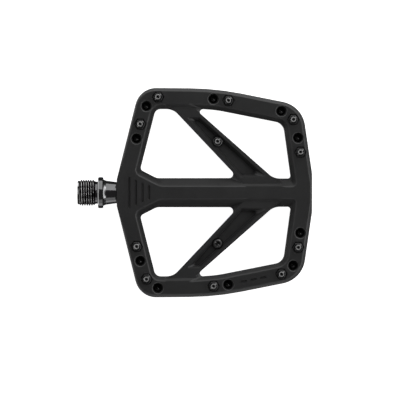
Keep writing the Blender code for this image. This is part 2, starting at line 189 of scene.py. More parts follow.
def subtract(target, name, form):
    """Cut the bodies of a bmesh out of a target."""
    cutter = add_object(name, mesh_from(name, form))
    step = target.modifiers.new(name, "BOOLEAN")
    step.operation = "DIFFERENCE"
    step.solver = "EXACT"
    step.object = cutter
    applied(target)
    bpy.data.objects.remove(cutter, do_unlink=True)


def mirror_corners(corners):
    """The same closed outline at -Y, still anticlockwise."""
    mirrored = [(x, -y, radius, corners[i - 1][3]) for i, (x, y, radius, _) in enumerate(corners)]
    return mirrored[::-1]


def corner_points(before, after, radius, steps):
    """Points of the arc that rounds the corner between two directed lines."""
    turn = before["run"].cross(after["run"])
    angle = math.asin(turn)
    if before["run"].dot(after["run"]) < 0:
        angle = math.pi - angle
    offset = after["start"] - before["start"]
    corner = before["start"] + before["run"] * (offset.cross(after["run"]) / turn)
    first = corner - before["run"] * radius * math.tan(angle / 2)
    center = first + Vector((-before["run"].y, before["run"].x)) * radius
    heading = math.atan2(before["run"].y, before["run"].x) - math.pi / 2
    angles = [heading + angle * i / steps for i in range(steps + 1)]
    return [center + Vector((math.cos(a), math.sin(a))) * radius for a in angles]


def outline(corners, depth, side, draft=0.0):
    """Rounded outline at a depth (mm) under the tread face, each edge moved by the chamfer left there.

    side is 1 for a window, which widens towards the face, and -1 for a solid, which narrows.
    A corner between unlike chamfers tightens towards the face. draft moves every edge the same way.
    """
    lines = []
    for i, (x, y, _, chamfer) in enumerate(corners):
        end = corners[(i + 1) % len(corners)]
        run = Vector((end[0] - x, end[1] - y)).normalized()
        shift = side * (max(chamfer - depth, 0.0) + draft)
        lines.append({"run": run, "start": Vector((x, y)) + Vector((run.y, -run.x)) * shift, "shift": shift})
    points = []
    for i, (_, _, radius, _) in enumerate(corners):
        before = lines[i - 1]
        after = lines[i]
        shifts = sorted((abs(before["shift"]), abs(after["shift"])))
        grown = max(radius + side * shifts[0] - TIGHTENING * (shifts[1] - shifts[0]), SMALLEST_RADIUS)
        turn = math.acos(max(-1.0, min(1.0, before["run"].dot(after["run"]))))
        steps = max(3, round(turn / math.radians(7)))
        points += corner_points(before, after, grown, steps)
    return [point * MM for point in points]


def ring_at(points, z):
    return [Vector((point.x, point.y, z)) for point in points]


def lofted(form, rings):
    """Closed body through rings of points that have the same count, capped at both ends."""
    rows = [[form.verts.new(point) for point in ring] for ring in rings]
    for low, high in zip(rows, rows[1:]):
        for i in range(len(low)):
            j = (i + 1) % len(low)
            form.faces.new((low[i], low[j], high[j], high[i]))
    form.faces.new(reversed(rows[0]))
    form.faces.new(rows[-1])


def turned(form, rows, steps, axis="Z", place=(0.0, 0.0, 0.0), face=1, closed=False):
    """Body of rows of (distance, radius) about an axis; a radius may be a function of the angle.

    face -1 turns the body over about X. A closed list of rows makes a ring.
    """
    rings = []
    for distance, radius in rows:
        ring = []
        for i in range(steps):
            angle = math.tau * i / steps
            reach = radius(angle) if callable(radius) else radius
            across = (reach * math.cos(angle), reach * math.sin(angle))
            point = Vector((distance, *across)) if axis == "X" else Vector((*across, distance))
            point.y *= face
            point.z *= face
            ring.append(form.verts.new(point + Vector(place)))
        rings.append(ring)
    pairs = list(zip(rings, rings[1:]))
    if closed:
        pairs.append((rings[-1], rings[0]))
    for low, high in pairs:
        for i in range(steps):
            j = (i + 1) % steps
            form.faces.new((low[i], low[j], high[j], high[i]))
    if not closed:
        form.faces.new(rings[0])
        form.faces.new(rings[-1])


def hexagon(apothem, limit=None):
    """Radius of a hexagon with a corner at angle zero, cut back to limit at its corners."""
    def radius(angle):
        reach = apothem / math.cos(math.radians(math.degrees(angle) % 60 - 30))
        return min(reach, limit) if limit else reach
    return radius


def thread_radius(outside, pitch, z, share):
    """Radius of a right-hand thread at a distance z, as a function of the angle: rounded crests and roots."""
    depth = share * pitch

    def radius(angle):
        place = (z / pitch - angle / math.tau) % 1.0
        ramp = abs(place - 0.5) * 2
        return outside - depth * (0.5 - 0.5 * math.cos(math.pi * ramp))
    return radius


def threaded_rows(start, end, outside, pitch, rows_per_pitch, fade=0.6, share=THREAD_DEPTH):
    """Rows of a thread that fades in and out at its ends; share is its depth, of the pitch."""
    count = max(2, round((end - start) / pitch * rows_per_pitch))
    rows = []
    for i in range(count + 1):
        z = start + (end - start) * i / count
        near = min(z - start, end - z) / (fade * pitch)
        root = outside - share * pitch
        full = thread_radius(outside, pitch, z, share)
        weight = min(max(near, 0.0), 1.0)
        rows.append((z, lambda a, f=full, w=weight, r=root: r + (f(a) - r) * w))
    return rows


# ---------------------------------------------------------------- materials

def node(tree, kind, **inputs):
    made = tree.nodes.new(kind)
    for name, value in inputs.items():
        made.inputs[name.replace("_", " ")].default_value = value
    return made


def noise(tree, coordinates, scale, stretch=(1.0, 1.0, 1.0), detail=3.0):
    mapping = tree.nodes.new("ShaderNodeMapping")
    mapping.inputs["Scale"].default_value = stretch
    tree.links.new(coordinates, mapping.inputs["Vector"])
    made = node(tree, "ShaderNodeTexNoise", Scale=scale, Detail=detail)
    tree.links.new(mapping.outputs["Vector"], made.inputs["Vector"])
    return made.outputs["Fac"]


def blend_range(tree, value, low, high, start=0.3, stop=0.7):
    made = node(tree, "ShaderNodeMapRange", From_Min=start, From_Max=stop, To_Min=low, To_Max=high)
    tree.links.new(value, made.inputs["Value"])
    return made.outputs["Result"]


def mixed_color(tree, factor, first, second):
    made = tree.nodes.new("ShaderNodeMix")
    made.data_type = "RGBA"
    tree.links.new(factor, made.inputs["Factor"])
    for socket, color in (("A", first), ("B", second)):
        target = [s for s in made.inputs if s.name == socket and s.type == "RGBA"][0]
        if isinstance(color, tuple):
            target.default_value = (*color, 1.0)
        else:
            tree.links.new(color, target)
    return [s for s in made.outputs if s.type == "RGBA"][0]


def radius_about_x(tree, coordinates):
    """Distance of a point from the X axis."""
    across = tree.nodes.new("ShaderNodeVectorMath")
    across.operation = "MULTIPLY"
    across.inputs[1].default_value = (0.0, 1.0, 1.0)
    tree.links.new(coordinates, across.inputs[0])
    reach = tree.nodes.new("ShaderNodeVectorMath")
    reach.operation = "LENGTH"
    tree.links.new(across.outputs["Vector"], reach.inputs[0])
    return reach.outputs["Value"]


def surface(name, colors, roughness, metallic, patch, grain, depth, stretch=(1.0, 1.0, 1.0), edge=None,
            cavity=None, rounds=None, worn_tip=None, painted_end_shade=None, thread=None):
    """Procedural material.

    colors and roughness are pairs that drift over patches (patch and grain are noise scales, per metre);
    depth is the grain's height in metres; stretch draws the grain out. edge is a lighter colour on convex
    edges:
    partly wear and partly a painted highlight. cavity is a painted shade, darker in hollows, and rounds is a
    painted highlight on the faces that soften_edges marks. worn_tip is a height and the worn colour above it.
    painted_end_shade is a height and a painted shade below it. thread is a start, an end, two radii about X
    and two
    colours: between start and end the surface goes from the first colour at the smaller radius to the second,
    a painted shade in the roots and a painted highlight on the crests.
    """
    step = 0.1 * MM
    made = bpy.data.materials.new(name)
    made.use_nodes = True
    tree = made.node_tree
    shader = tree.nodes["Principled BSDF"]
    shader.inputs["Metallic"].default_value = metallic
    coordinates = tree.nodes.new("ShaderNodeTexCoord").outputs["Object"]
    patches = noise(tree, coordinates, patch)
    fine = noise(tree, coordinates, grain, stretch, 2.0)
    color = mixed_color(tree, blend_range(tree, patches, 0.0, 1.0), colors[0], colors[1])
    point = tree.nodes.new("ShaderNodeNewGeometry").outputs["Pointiness"]
    # Lighter on convex edges: partly wear, partly a painted highlight
    if edge:
        color = mixed_color(tree, blend_range(tree, point, 0.0, 0.8, 0.53, 0.62), color, edge)
    # Painted shade: darker in hollows
    if cavity:
        color = mixed_color(tree, blend_range(tree, point, 0.9, 0.0, 0.38, 0.47), color, cavity)
    # Painted highlight: the faces that soften_edges marks are painted lighter
    if rounds:
        marked = tree.nodes.new("ShaderNodeAttribute")
        marked.attribute_name = EDGE_MARK
        lightness = blend_range(tree, marked.outputs["Fac"], 0.0, 1.0, 0.0, FULL_MARK)
        color = mixed_color(tree, lightness, color, rounds)
    if worn_tip:
        split = tree.nodes.new("ShaderNodeSeparateXYZ")
        tree.links.new(coordinates, split.inputs["Vector"])
        start, bare_and_highlight = worn_tip
        bareness = blend_range(tree, split.outputs["Z"], 0.0, 0.9, start, start + step)
        color = mixed_color(tree, bareness, color, bare_and_highlight)
    # Painted shade: the surface is darker below a height, for the pins' drive ends inside their counterbores
    if painted_end_shade:
        split = tree.nodes.new("ShaderNodeSeparateXYZ")
        tree.links.new(coordinates, split.inputs["Vector"])
        stop, dark = painted_end_shade
        darkness = blend_range(tree, split.outputs["Z"], 1.0, 0.0, stop - step, stop)
        color = mixed_color(tree, darkness, color, dark)
    # Painted shade in the thread's roots and painted highlight on its crests
    if thread:
        start, end, low, high, root_shade, bare_and_highlight = thread
        split = tree.nodes.new("ShaderNodeSeparateXYZ")
        tree.links.new(coordinates, split.inputs["Vector"])
        radius = radius_about_x(tree, coordinates)
        crest = mixed_color(tree, blend_range(tree, radius, 0.0, 1.0, low, high), root_shade, bare_and_highlight)
        begun = blend_range(tree, split.outputs["X"], 0.0, 1.0, start, start + step)
        ended = blend_range(tree, split.outputs["X"], 1.0, 0.0, end, end + step)
        inside = node(tree, "ShaderNodeMath")
        inside.operation = "MULTIPLY"
        tree.links.new(begun, inside.inputs[0])
        tree.links.new(ended, inside.inputs[1])
        color = mixed_color(tree, inside.outputs["Value"], color, crest)
    tree.links.new(color, shader.inputs["Base Color"])
    tree.links.new(blend_range(tree, fine, *roughness), shader.inputs["Roughness"])
    bump = node(tree, "ShaderNodeBump", Distance=depth, Strength=1.0)
    tree.links.new(fine, bump.inputs["Height"])
    tree.links.new(bump.outputs["Normal"], shader.inputs["Normal"])
    return made


def make_materials():
    around_x = (1.0, 0.02, 0.02)
    around_z = (0.05, 0.05, 1.0)
    # Bare steel: worn on the pins' tips, and a painted highlight on the spindle's edges
    bare_steel_and_highlight = (0.4, 0.4, 0.4)
    # Painted highlight on the pins' edges, partly wear, and on the spindle's thread crests
    bright_edge = (0.42, 0.42, 0.42)
    worn_height = 0.45 * MM
    pin_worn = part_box("pin_top_01")[1][2] - worn_height
    screw_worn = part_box("brace_screw_fore")[1][2] - worn_height
    dark_steel = [(0.025, 0.025, 0.026), (0.04, 0.04, 0.041)]
    nylon = [(0.013, 0.013, 0.0133), (0.018, 0.018, 0.0184)]
    polished = [(0.15, 0.15, 0.153), (0.19, 0.19, 0.194)]
    cap = [(0.018, 0.018, 0.019), (0.024, 0.024, 0.025)]
    # Painted shade for hollows and for the spindle's thread roots
    hollow_shade = (0.006, 0.006, 0.006)
    # Painted shade on the pins' drive ends, which sit in the counterbores
    counterbore_shade = (-HALF_HEIGHT + COUNTERBORE_DEPTH, (0.012, 0.012, 0.012))
    # The spindle's thread is painted darker in its roots and lighter on its crests: painted shade and
    # highlight
    thread = (AXLE_START + 0.9 * MM, THREAD_END, 6.5 * MM, 7.1 * MM, hollow_shade, bright_edge)
    return {
        # The nylon's marked faces get a lighter colour: a painted highlight
        "black_nylon": surface("black_nylon", nylon, (0.4, 0.52), 0.0, 90, 2600, 0.012 * MM,
                               rounds=(0.1, 0.1, 0.101)),
        "polished_steel": surface("polished_steel", polished, (0.07, 0.13), 1.0, 120, 3000, 0.0006 * MM,
                                  around_x, edge=bare_steel_and_highlight, cavity=hollow_shade, thread=thread),
        "pin_steel": surface("pin_steel", dark_steel, (0.3, 0.42), 1.0, 500, 5000, 0.001 * MM, around_z,
                             edge=bright_edge, cavity=hollow_shade, worn_tip=(pin_worn, bare_steel_and_highlight),
                             painted_end_shade=counterbore_shade),
        "screw_steel": surface("screw_steel", dark_steel, (0.3, 0.42), 1.0, 500, 5000, 0.001 * MM, around_z,
                               edge=bright_edge, cavity=hollow_shade, worn_tip=(screw_worn, bare_steel_and_highlight)),
        "seal_rubber": surface("seal_rubber", [(0.012, 0.012, 0.012), (0.02, 0.02, 0.02)], (0.5, 0.7), 0.0,
                               300, 4000, 0.01 * MM),
        "bushing_polymer": surface("bushing_polymer", [(0.28, 0.2, 0.07), (0.34, 0.26, 0.1)], (0.4, 0.6), 0.0,
                                   300, 4000, 0.006 * MM),
        "bearing_steel": surface("bearing_steel", [(0.5, 0.5, 0.51), (0.6, 0.6, 0.61)], (0.08, 0.2), 1.0,
                                 300, 5000, 0.002 * MM, around_x),
        "cage_nylon": surface("cage_nylon", [(0.36, 0.3, 0.2), (0.42, 0.36, 0.26)], (0.4, 0.6), 0.0,
                              300, 4000, 0.006 * MM),
        "zinc_steel": surface("zinc_steel", [(0.42, 0.42, 0.41), (0.55, 0.55, 0.52)], (0.25, 0.42), 1.0,
                              400, 5000, 0.004 * MM),
        "cap_plastic": surface("cap_plastic", cap, (0.4, 0.55), 0.0, 200, 3000, 0.015 * MM),
    }


def finish_piece(obj, materials, slot, body, *nodes, look=None):
    """Give a piece its material, its body, and the CAD nodes that it stands for."""
    obj.data.materials.clear()
    obj.data.materials.append(materials[look or slot])
    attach(obj, body)
    if nodes:
        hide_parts(*nodes)


# ---------------------------------------------------------------- platform

def edge_levels(radius, angles):
    """(depth, draft) pairs in mm, from the face down: a round that joins the face to a 45 degree chamfer."""
    reach = radius * math.tan(math.radians(22.5))
    pairs = []
    for degrees in angles:
        turn = math.radians(degrees)
        depth = radius * (1 - math.cos(turn))
        pairs.append((depth, reach - radius * math.sin(turn) + depth))
    return pairs


def both_faces(corners, side, pairs):
    """Rings of an outline at (depth, draft) pairs: from the lower face inwards, and out to the upper one."""
    below = []
    above = []
    for depth, draft in pairs:
        points = outline(corners, depth, side, draft)
        below.append(ring_at(points, -HALF_HEIGHT + depth * MM))
        above.append(ring_at(points, HALF_HEIGHT - depth * MM))
    return below, above[::-1]


def add_slab(form):
    """Outer shape of the moulding, with a fine parting line half way up."""
    corners = OUTER_HALF + mirror_corners(OUTER_HALF)
    pairs = edge_levels(1.0, (0, 15, 30, 45)) + [(EDGE_BREAK, 0.0), (OUTER_CHAMFER, 0.0)]
    below, above = both_faces(corners, -1, pairs)
    seam = [(-0.15, 0.0), (-0.05, -0.06), (0.05, -0.06), (0.15, 0.0)]
    below_chamfers = 9.0
    middle = [ring_at(outline(corners, below_chamfers, -1, draft), z * MM) for z, draft in seam]
    lofted(form, below + middle + above)


def add_window(form, corners):
    """Cutter of an opening, with a round between each face and the chamfers.

    The round starts at a small angle to the face, and goes on at about that angle to just above it.
    """
    first = 9
    pairs = edge_levels(WINDOW_ROUND, (first, 21, 33, 45)) + [(2.3, 0.0), (4.5, 0.0)]
    below, above = both_faces(corners, 1, pairs)
    rise = 0.03
    depth, draft = pairs[0]
    start = draft + (rise + depth) / math.tan(math.radians(first)) + rise
    rims = [ring_at(outline(corners, 0.0, 1, start), HALF_HEIGHT + z * MM) for z in (rise, 1.0)]
    mirrored = [[Vector((p.x, p.y, -p.z)) for p in ring] for ring in rims[::-1]]
    lofted(form, mirrored + below + above + rims)


def add_pocket(form, corners, floor, face, chamfer):
    """Pocket from its floor (metres) to past a tread face."""
    past = 1.0
    levels = [(floor, chamfer), (HALF_HEIGHT, 0.0), (HALF_HEIGHT + past * MM, -past)]
    lofted(form, [ring_at(outline(corners, depth, 1), face * z) for z, depth in levels])


def add_recess(form, corners, face):
    """Brace recess: its walls slope at 45 degrees below the ledge, and then drop to the floor."""
    slope = 1.5
    past = 1.0 * MM
    ledge = HALF_HEIGHT - LEDGE_DEPTH * MM
    levels = [
        (WEB_HALF, slope),
        (WEB_HALF + 0.3 * MM, slope - 0.15),
        (ledge - slope * MM, slope - 0.2),
        (ledge, 0.0),
        (HALF_HEIGHT + past, 0.0),
    ]
    lofted(form, [ring_at(outline(corners, 0.0, 1, -inset), face * z) for z, inset in levels])


def add_groove(form, place, length, width, depth, face, angle):
    """Groove with round ends and leaning walls, cut into a tread face along a direction."""
    end_steps = 6
    lean = 0.6
    rings = []
    for past in (-1, 1):
        half_width = width / 2 * (1 + lean * past)
        ring = []
        for end in (1, -1):
            for i in range(end_steps + 1):
                turn = -math.pi / 2 + math.pi * i / end_steps
                x = end * ((length - width) / 2 + half_width * math.cos(turn))
                y = end * half_width * math.sin(turn)
                along = x * math.cos(angle) - y * math.sin(angle)
                across = x * math.sin(angle) + y * math.cos(angle)
                height = face * (HALF_HEIGHT + past * depth)
                ring.append(Vector((place[0] + along, place[1] + across, height)))
        rings.append(ring)
    lofted(form, rings)


def pin_hole_rows():
    """Stepped hole of a pin whose tip is up, with a chamfered rim at both ends."""
    past = 1.0 * MM
    rim = 0.4 * MM
    hex_r = COLLAR_APOTHEM + GAP
    tapped_r = SHANK_R - 0.1 * MM
    return [
        (-HALF_HEIGHT - past, COUNTERBORE_R + rim + past),
        (-HALF_HEIGHT + rim, COUNTERBORE_R),
        (-HALF_HEIGHT + COUNTERBORE_DEPTH, COUNTERBORE_R),
        (-HALF_HEIGHT + COUNTERBORE_DEPTH, tapped_r),
        (HALF_HEIGHT - POCKET_DEPTH, tapped_r),
        (HALF_HEIGHT - POCKET_DEPTH, hexagon(hex_r)),
        (HALF_HEIGHT - rim, hexagon(hex_r)),
        (HALF_HEIGHT + past, hexagon(hex_r + rim + past)),
    ]


def brace_hole_rows():
    """Hole for a set screw in the brace's web, with clearance above and below it."""
    past = 1.0 * MM
    step = WEB_HALF - 0.5 * MM
    tapped_r = BRACE_SCREW_R - 0.1 * MM
    return [
        (-HALF_HEIGHT - past, BRACE_RELIEF_R),
        (-step, BRACE_RELIEF_R),
        (-step, tapped_r),
        (step, tapped_r),
        (step, BRACE_RELIEF_R),
        (HALF_HEIGHT + past, BRACE_RELIEF_R),
    ]


def middle_of(name):
    """The middle of a node, seen from above."""
    low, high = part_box(name)
    return ((low[0] + high[0]) / 2, (low[1] + high[1]) / 2)


def pin_nodes():
    """(node, x, y, face) of every traction pin; face is 1 where the tip is up."""
    found = []
    for name in sorted(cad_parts):
        if name.startswith("pin_"):
            found.append((name, *middle_of(name), 1 if name.startswith("pin_top") else -1))
    return found


def add_barrel_bore(form):
    """Stepped bore for the spindle: seal and bushing at the crank end, bearing seat at the other."""
    past = 1.0 * MM
    sleeve_r = 6.4 * MM
    seat_r = 6.8 * MM
    shoulder_x = -25.1 * MM
    clearance_r = 5.5 * MM
    seat_x = 52.0 * MM
    rim = 0.4 * MM
    rows = [
        (HUB_X - past, sleeve_r + rim + past),
        (HUB_X + rim, sleeve_r),
        (shoulder_x, sleeve_r),
        (shoulder_x, clearance_r),
        (seat_x, clearance_r),
        (seat_x, seat_r),
        (BOSS_X - rim, seat_r),
        (BOSS_X + past, seat_r + rim + past),
    ]
    turned(form, rows, 64, "X")


def add_hub_wedges(form):
    """The hub's strip next to the crank falls away gently on both faces."""
    start_x = -38.0 * MM
    end_x = HUB_X - 1.0 * MM
    drop = 0.75 * MM * (start_x - end_x) / (start_x - HUB_X)
    reach = 30.0 * MM
    over = 1.0 * MM
    for face in (1, -1):
        profile = [(start_x, HALF_HEIGHT), (end_x, HALF_HEIGHT - drop), (end_x, HALF_HEIGHT + over),
                   (start_x, HALF_HEIGHT + over)]
        rings = [[Vector((x, y, face * z)) for x, z in profile] for y in (-reach, reach)]
        lofted(form, rings)


def add_grip_grooves(form):
    """Plain straight grooves: across the hub, and three short ones on the frame's bar, on both faces."""
    depth = 0.7 * MM
    bar_angle = math.radians(11.3)
    for face in (1, -1):
        for i, length in enumerate((17.0, 14.0, 11.0, 8.0)):
            x = (-35.5 + 3.6 * i) * MM
            add_groove(form, (x, 0.0), length * MM, 1.3 * MM, depth, face, math.pi / 2)
        for i in range(3):
            along = (i - 1) * 5.4 * MM
            x = 31.8 * MM + along * math.cos(bar_angle)
            y = -47.1 * MM + along * math.sin(bar_angle)
            add_groove(form, (x, y * face), 3.8 * MM, 1.2 * MM, depth, face, bar_angle * face)


def add_ejector_marks(form):
    """Shallow round marks that the mould's ejector pins leave in the brace recesses."""
    depth = 0.15 * MM
    radius = 1.1 * MM
    past = 1.0 * MM
    for side in (1, -1):
        for face in (1, -1):
            for x, y in ((28.5, 12.6), (2.6, 37.0)):
                rows = [(WEB_HALF - depth, radius), (WEB_HALF + past, radius)]
                turned(form, rows, 20, "Z", (x * MM, side * y * MM, 0.0), face)


def make_platform(materials):
    form = bmesh.new()
    add_slab(form)
    form.normal_update()
    # The outer chamfer's faces are marked here for their painted highlight
    chamfer_start = HALF_HEIGHT - OUTER_CHAMFER * MM
    flat = 0.95
    for face in form.faces:
        if abs(face.calc_center_median().z) > chamfer_start and abs(face.normal.z) < flat:
            face.material_index = OUTER_CHAMFER_INDEX
    body = add_object("platform", mesh_from("platform", form))
    for index in range(len(MARKS)):
        body.data.materials.append(bpy.data.materials.new(f"mark_{index}"))
    windows = bmesh.new()
    ledges = bmesh.new()
    recesses = bmesh.new()
    for corners in (INBOARD_WINDOW, OUTBOARD_WINDOW):
        add_window(windows, corners)
        add_window(windows, mirror_corners(corners))
    for face in (1, -1):
        for ledge in (BRACE_LEDGE, mirror_corners(BRACE_LEDGE)):
            add_pocket(ledges, ledge, HALF_HEIGHT - LEDGE_DEPTH * MM, face, LEDGE_DEPTH)
        for recess in (BRACE_RECESS, mirror_corners(BRACE_RECESS)):
            add_recess(recesses, recess, face)
    subtract(body, "windows", windows)
    subtract(body, "ledges", ledges)
    subtract(body, "recesses", recesses)
    holes = bmesh.new()
    for _, x, y, face in pin_nodes():
        turned(holes, pin_hole_rows(), 36, "Z", (x, y, 0.0), face)
    for name, face in BRACE_SCREWS:
        turned(holes, brace_hole_rows(), 36, "Z", (*middle_of(name), 0.0), face)
    subtract(body, "holes", holes)
    bore = bmesh.new()
    add_barrel_bore(bore)
    subtract(body, "bore", bore)
    wedges = bmesh.new()
    add_hub_wedges(wedges)
    subtract(body, "wedges", wedges)
    grooves = bmesh.new()
    add_grip_grooves(grooves)
    add_ejector_marks(grooves)
    subtract(body, "grooves", grooves)
    soften_edges(body)
    finish_piece(body, materials, "black_nylon", "platform_group", "platform_body")


def soften_edges(body):
    """Small round on every moulded edge.

    Each face gets a painted highlight, kept in a face attribute: the small rounds, the outer chamfer, the
    rounds beside the windows, the rims of the pins' counterbores and the rounds of the hub's grooves that face
    +X are painted lighter. A face is taken for a round by its tilt and its area.
    """
    step = body.modifiers.new("round", "BEVEL")
    step.width = SOFTENING
    step.segments = 2
    step.limit_method = "ANGLE"
    step.angle_limit = math.radians(28)
    step.use_clamp_overlap = True
    step.miter_outer = "MITER_SHARP"
    step.material = SMALL_ROUND_INDEX
    applied(body)
    # Painted highlight: how much lighter each face is painted is kept in this attribute
    mark = body.data.attributes.new(EDGE_MARK, "FLOAT", "FACE")
    rims = [(Vector((x, y)), -side) for _, x, y, side in pin_nodes()]
    rim_width = 0.4 * MM
    rim_depth = 0.45 * MM
    facing = 0.2
    for face, value in zip(body.data.polygons, mark.data):
        tilt = math.degrees(math.acos(min(abs(face.normal.z), 1.0)))
        rounded = 4 < tilt < 40 and face.area < ROUND_FACE_AREA
        value.value = max(MARKS[face.material_index], WINDOW_MARK if rounded else 0.0)
        if abs(face.center.z) > HALF_HEIGHT - rim_depth and face.area < RIM_FACE_AREA:
            for center, side in rims:
                near = (face.center.xy - center).length - COUNTERBORE_R
                if side * face.center.z > 0 and abs(near) < rim_width:
                    value.value = RIM_MARK
        # Painted highlight on the groove rounds that face +X, the side the light comes from
        in_grip = GRIP_LEFT < face.center.x < GRIP_RIGHT and abs(face.center.y) < GRIP_REACH
        if in_grip and face.material_index == SMALL_ROUND_INDEX and face.normal.x > facing:
            value.value = GROOVE_MARK
        face.material_index = 0
    body.data.shade_smooth()
    body.data.set_sharp_from_angle(angle=math.radians(50))
    normals = body.modifiers.new("normals", "WEIGHTED_NORMAL")
    normals.keep_sharp = True


# ---------------------------------------------------------------- pins

def traction_pin_mesh():
    """Pin with its tip up: threaded shank with a key socket, hex collar and cupped tip, all one piece."""
    end = -HALF_HEIGHT + 3.0 * MM
    seat = HALF_HEIGHT - POCKET_DEPTH + GAP
    collar_top = seat + COLLAR_HEIGHT
    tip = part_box("pin_top_01")[1][2]
    root = SHANK_R - THREAD_DEPTH * SHANK_PITCH
    corner = 2.66 * MM
    socket = hexagon(1.0 * MM)
    rows = [
        (end + 1.6 * MM, 0.3 * MM),
        (end + 1.3 * MM, socket),
        (end + 0.15 * MM, socket),
        (end, 1.25 * MM),
        (end, root - 0.1 * MM),
        (end + 0.3 * MM, root),
    ]
    rows += threaded_rows(end + 0.35 * MM, seat - 0.5 * MM, SHANK_R, SHANK_PITCH, 5)
    rows += [
        (seat - 0.3 * MM, root),
        (seat, root + 0.1 * MM),
        (seat, hexagon(COLLAR_APOTHEM, corner - 0.25 * MM)),
        (seat + 0.25 * MM, hexagon(COLLAR_APOTHEM, corner)),
        (collar_top - 0.4 * MM, hexagon(COLLAR_APOTHEM, corner)),
        (collar_top - 0.22 * MM, 2.43 * MM),
        (collar_top - 0.1 * MM, 2.26 * MM),
        (collar_top, 2.0 * MM),
        (collar_top, TIP_R + 0.25 * MM),
        (collar_top + 0.25 * MM, TIP_R),
    ]
    rows += rounded_tip(tip, TIP_R, 0.8 * MM)
    form = bmesh.new()
    turned(form, rows, 36)
    return mesh_from("traction_pin", form)


def rounded_tip(top, outside, bore):
    """Rows of a cupped tip: its rim is half a torus between the outside and the bore."""
    rim = (outside - bore) / 2
    middle = bore + rim
    rows = []
    steps = 8
    for i in range(steps + 1):
        turn = math.pi * i / steps
        rows.append((top - rim + rim * math.sin(turn), middle + rim * math.cos(turn)))
    rows.append((top - 1.8 * MM, bore * 0.9))
    rows.append((top - 2.1 * MM, 0.15 * MM))
    return rows


def brace_screw_mesh():
    """Set screw with its point up: threaded body, key socket at the drive end and a cupped point."""
    low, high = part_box("brace_screw_fore")
    drive = low[2]
    tip = high[2]
    shoulder = 6.0 * MM
    pitch = 0.8 * MM
    root = BRACE_SCREW_R - THREAD_DEPTH * pitch
    point_r = 1.5 * MM
    socket = hexagon(1.25 * MM)
    rows = [
        (drive + 2.2 * MM, 0.3 * MM),
        (drive + 1.9 * MM, socket),
        (drive + 0.2 * MM, socket),
        (drive, 1.55 * MM),
        (drive, root - 0.05 * MM),
        (drive + 0.35 * MM, BRACE_SCREW_R - 0.12 * MM),
    ]
    rows += threaded_rows(drive + 0.4 * MM, shoulder - 0.55 * MM, BRACE_SCREW_R, pitch, 6, 0.3)
    rows += [
        (shoulder - 0.5 * MM, BRACE_SCREW_R - 0.1 * MM),
        (shoulder - 0.2 * MM, BRACE_SCREW_R - 0.1 * MM),
        (shoulder, BRACE_SCREW_R - 0.35 * MM),
        (shoulder, point_r + 0.3 * MM),
        (shoulder + 0.3 * MM, point_r),
    ]
    rows += rounded_tip(tip, point_r, 0.8 * MM)
    form = bmesh.new()
    turned(form, rows, 36)
    return mesh_from("brace_screw", form)


def place_screw(name, mesh, x, y, face, materials, look, node_name):
    """Pin or set screw with its tip on one face, in place of its CAD node."""
    screw = add_object(name, mesh)
    screw.location = (x, y, 0.0)
    if face < 0:
        screw.rotation_euler = (math.pi, 0.0, 0.0)
    bpy.context.view_layer.update()
    finish_piece(screw, materials, "pin_steel", "platform_group", node_name, look=look)


def make_pins(materials):
    """All traction pins share one mesh, and so do the two set screws."""
    mesh = traction_pin_mesh()
    for name, x, y, face in pin_nodes():
        place_screw(name.replace("pin_", "traction_pin_"), mesh, x, y, face, materials, "pin_steel", name)
    mesh = brace_screw_mesh()
    for name, face in BRACE_SCREWS:
        x, y = middle_of(name)
        place_screw(name.replace("brace_", "brace_set_"), mesh, x, y, face, materials, "screw_steel", name)


# ---------------------------------------------------------------- axle

def axle_rows():
    """Rows of the spindle from the bottom of its key socket, out over the end and along to the locknut."""
    key = hexagon(KEY_APOTHEM)
    floor = AXLE_START + KEY_DEPTH
    root = THREAD_R - SPINDLE_THREAD_DEPTH * THREAD_PITCH
    socket = [
        (floor + 1.4 * MM, 0.4 * MM),
        (floor, KEY_APOTHEM - 0.3 * MM),
        (floor, key),
        (AXLE_START + 0.5 * MM, key),
        (AXLE_START, 5.0 * MM),
    ]
    lead = [(AXLE_START, 6.15 * MM), (AXLE_START + 0.75 * MM, root + 0.3 * MM)]
    thread = threaded_rows(AXLE_START + 0.8 * MM, THREAD_END, THREAD_R, THREAD_PITCH, 14, 0.7,
                           SPINDLE_THREAD_DEPTH)
    collar_mm = [
        (-54.0, 6.1), (-53.8, 6.0), (-52.9, 6.0), (-52.5, 6.2), (-52.5, 6.5), (-52.5, 8.05),
        (-52.15, 8.4), (-51.9, 8.45), (-50.3, 8.45), (-50.05, 8.4), (-49.75, 8.1), (-49.75, 7.5),
        (-49.62, 7.2), (-49.4, 7.06), (-49.25, 7.0), (-48.2, 6.56),
    ]
    neck_end = HUB_X / MM + 0.1
    neck_rows = 10
    neck = [(-48.15, 6.545)]
    for i in range(1, neck_rows + 1):
        share = i / neck_rows
        neck.append((-48.1 + (neck_end + 48.1) * share, 6.535 - 0.815 * share))
    inner_mm = [
        (neck_end, 4.95), (neck_end + 0.15, 4.8), (-25.0, 4.8), (-15.0, 4.0), (51.8, 4.0), (52.0, 3.8),
        (52.0, 3.0), (57.7, 3.0), (57.9, 2.6),
    ]
    end = threaded_rows(58.0 * MM, 60.9 * MM, 2.85 * MM, 1.0 * MM, 8, 0.4)
    last = [(61.1 * MM, 2.5 * MM), (61.3 * MM, 2.2 * MM)]
    shaped = [(x * MM, radius * MM) for x, radius in collar_mm + neck + inner_mm]
    return socket + lead + thread + shaped + end + last


def make_axle(materials):
    form = bmesh.new()
    turned(form, axle_rows(), 96, "X")
    axle = add_object("spindle", mesh_from("spindle", form))
    finish_piece(axle, materials, "polished_steel", "axle_group", "axle")


# ---------------------------------------------------------------- inner pieces

